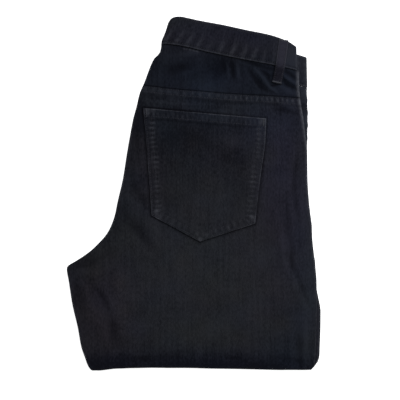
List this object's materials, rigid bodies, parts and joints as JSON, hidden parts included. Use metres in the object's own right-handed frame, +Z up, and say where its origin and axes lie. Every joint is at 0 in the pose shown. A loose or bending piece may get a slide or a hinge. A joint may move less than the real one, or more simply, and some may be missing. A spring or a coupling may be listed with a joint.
{
  "type": "folded slim tapered jeans",
  "caption": "Black denim jeans folded in half with a back pocket facing up and the legs turned up behind, so that they lie as a flat stack on a surface.",
  "frame": {"origin": "centre of the folded stack's box, on the surface that it lies on", "axes": "+Z up from the surface, +Y from the lower fold to the waistband, +X from the inseam side to the side seam"},
  "size_m": [0.335, 0.4671, 0.024],
  "materials": {
    "band_denim": "washed black denim, matt",
    "yoke_denim": "washed black denim, matt, darker",
    "panel_denim": "washed black denim, matt",
    "pocket_denim": "washed black denim, matt"
  },
  "bodies": {
    "root": {"waistband": "band_denim", "belt_loop": "band_denim", "back_yoke": "yoke_denim", "back_panel": "panel_denim", "back_pocket": "pocket_denim", "front_panel": "panel_denim", "far_yoke": "yoke_denim", "far_back_panel": "panel_denim", "hidden_layers": "panel_denim"}
  },
  "joints": []
}
